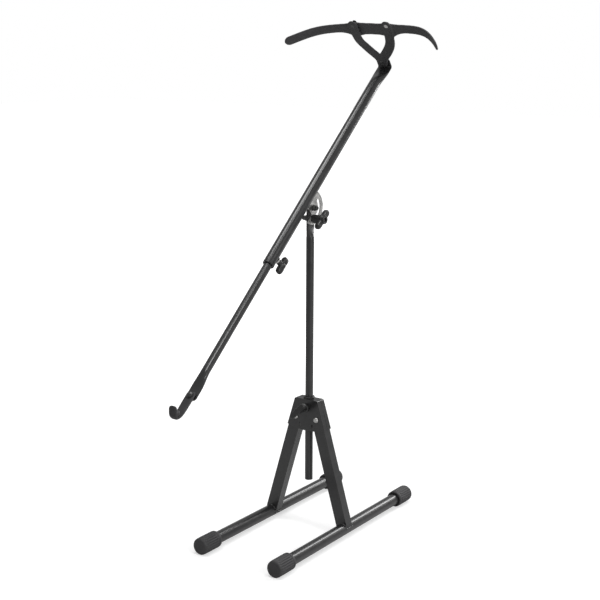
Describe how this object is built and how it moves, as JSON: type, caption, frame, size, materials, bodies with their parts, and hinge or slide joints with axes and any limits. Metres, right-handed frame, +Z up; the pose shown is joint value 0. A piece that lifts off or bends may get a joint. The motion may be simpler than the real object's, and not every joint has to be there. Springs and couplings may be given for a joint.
{
  "type": "instrument stand",
  "caption": "Tilting floor stand with folding legs, a sliding column and a two-part boom that ends in a curved rubber-coated cradle and a rubber-coated hook.",
  "frame": {"origin": "on the floor under the middle of the object's box", "axes": "+Z up, -Y towards the hook end of the boom, +Y towards the cradle end, feet along Y, leg pivots along Y"},
  "size_m": [0.349, 0.6911, 1.0242],
  "materials": {
    "powder_coat": "black powder coat, semi-gloss",
    "zinc": "bright zinc plate",
    "steel": "bright plated steel",
    "black_steel": "blackened steel",
    "plastic": "moulded black plastic",
    "rubber": "soft black rubber coat"
  },
  "bodies": {
    "bracket": {"front_bracket_plate": "powder_coat", "rear_bracket_plate": "powder_coat", "column_bush": "plastic", "left_pivot_bolt": "steel", "right_pivot_bolt": "steel", "left_pivot_nut": "steel", "right_pivot_nut": "steel", "height_clamp_boss": "black_steel"},
    "leg_left": {"left_leg": "powder_coat", "left_foot_tube": "powder_coat", "left_front_foot_cap": "rubber", "left_rear_foot_cap": "rubber"},
    "leg_right": {"right_leg": "powder_coat", "right_foot_tube": "powder_coat", "right_front_foot_cap": "rubber", "right_rear_foot_cap": "rubber"},
    "height_clamp": {"height_knob": "plastic", "height_clamp_screw": "steel"},
    "column": {"column_tube": "powder_coat", "tilt_pivot_bolt": "black_steel", "tilt_pivot_cap_nut": "black_steel", "tilt_washer": "steel", "tilt_cap_nut": "black_steel"},
    "tilt_clamp": {"tilt_knob": "plastic", "tilt_clamp_screw": "steel"},
    "boom": {"tilt_plate": "zinc", "boom_outer_tube": "powder_coat", "boom_collar": "plastic", "boom_clamp_boss": "steel", "left_fork_arm": "rubber", "right_fork_arm": "rubber", "lower_head_rivet": "black_steel", "upper_head_rivet": "black_steel", "cradle_sleeve": "rubber", "cradle_core": "steel", "left_strap_rivet": "black_steel", "right_strap_rivet": "black_steel"},
    "boom_clamp": {"boom_knob": "plastic", "boom_clamp_screw": "steel"},
    "inner_boom": {"boom_inner_tube": "powder_coat", "hook_sleeve": "rubber", "hook_core": "steel", "hook_screw": "black_steel", "hook_washer": "black_steel", "hook_nut": "steel"}
  },
  "joints": [
    {"name": "left_leg_fold", "type": "hinge", "parent": "bracket", "child": "leg_left", "pos_m": [-0.03044, 0.07701, 0.236], "axis": [0, -1, 0], "range_deg": [0, 16.4]},
    {"name": "right_leg_fold", "type": "hinge", "parent": "bracket", "child": "leg_right", "pos_m": [0.01956, 0.07701, 0.236], "axis": [0, 1, 0], "range_deg": [0, 16.4]},
    {"name": "height_clamp_turn", "type": "hinge", "parent": "bracket", "child": "height_clamp", "pos_m": [-0.00544, 0.07701, 0.258], "axis": [0, -1, 0], "range_deg": [0, 540]},
    {"name": "column_height", "type": "slide", "parent": "bracket", "child": "column", "axis": [0, 0, 1], "range_m": [-0.095, 0.11]},
    {"name": "tilt_clamp_turn", "type": "hinge", "parent": "column", "child": "tilt_clamp", "pos_m": [-0.00544, 0.07701, 0.642], "axis": [1, 0, 0], "range_deg": [0, 540]},
    {"name": "boom_tilt", "type": "hinge", "parent": "column", "child": "boom", "pos_m": [-0.00544, 0.08001, 0.663], "axis": [1, 0, 0], "range_deg": [-132, 2]},
    {"name": "boom_clamp_turn", "type": "hinge", "parent": "boom", "child": "boom_clamp", "pos_m": [-0.00204, -0.05027, 0.58547], "axis": [0.2588, 0.6388, -0.7246], "range_deg": [0, 540]},
    {"name": "boom_length", "type": "slide", "parent": "boom", "child": "inner_boom", "axis": [0, 0.7501, 0.6613], "range_m": [-0.08, 0.245]}
  ]
}
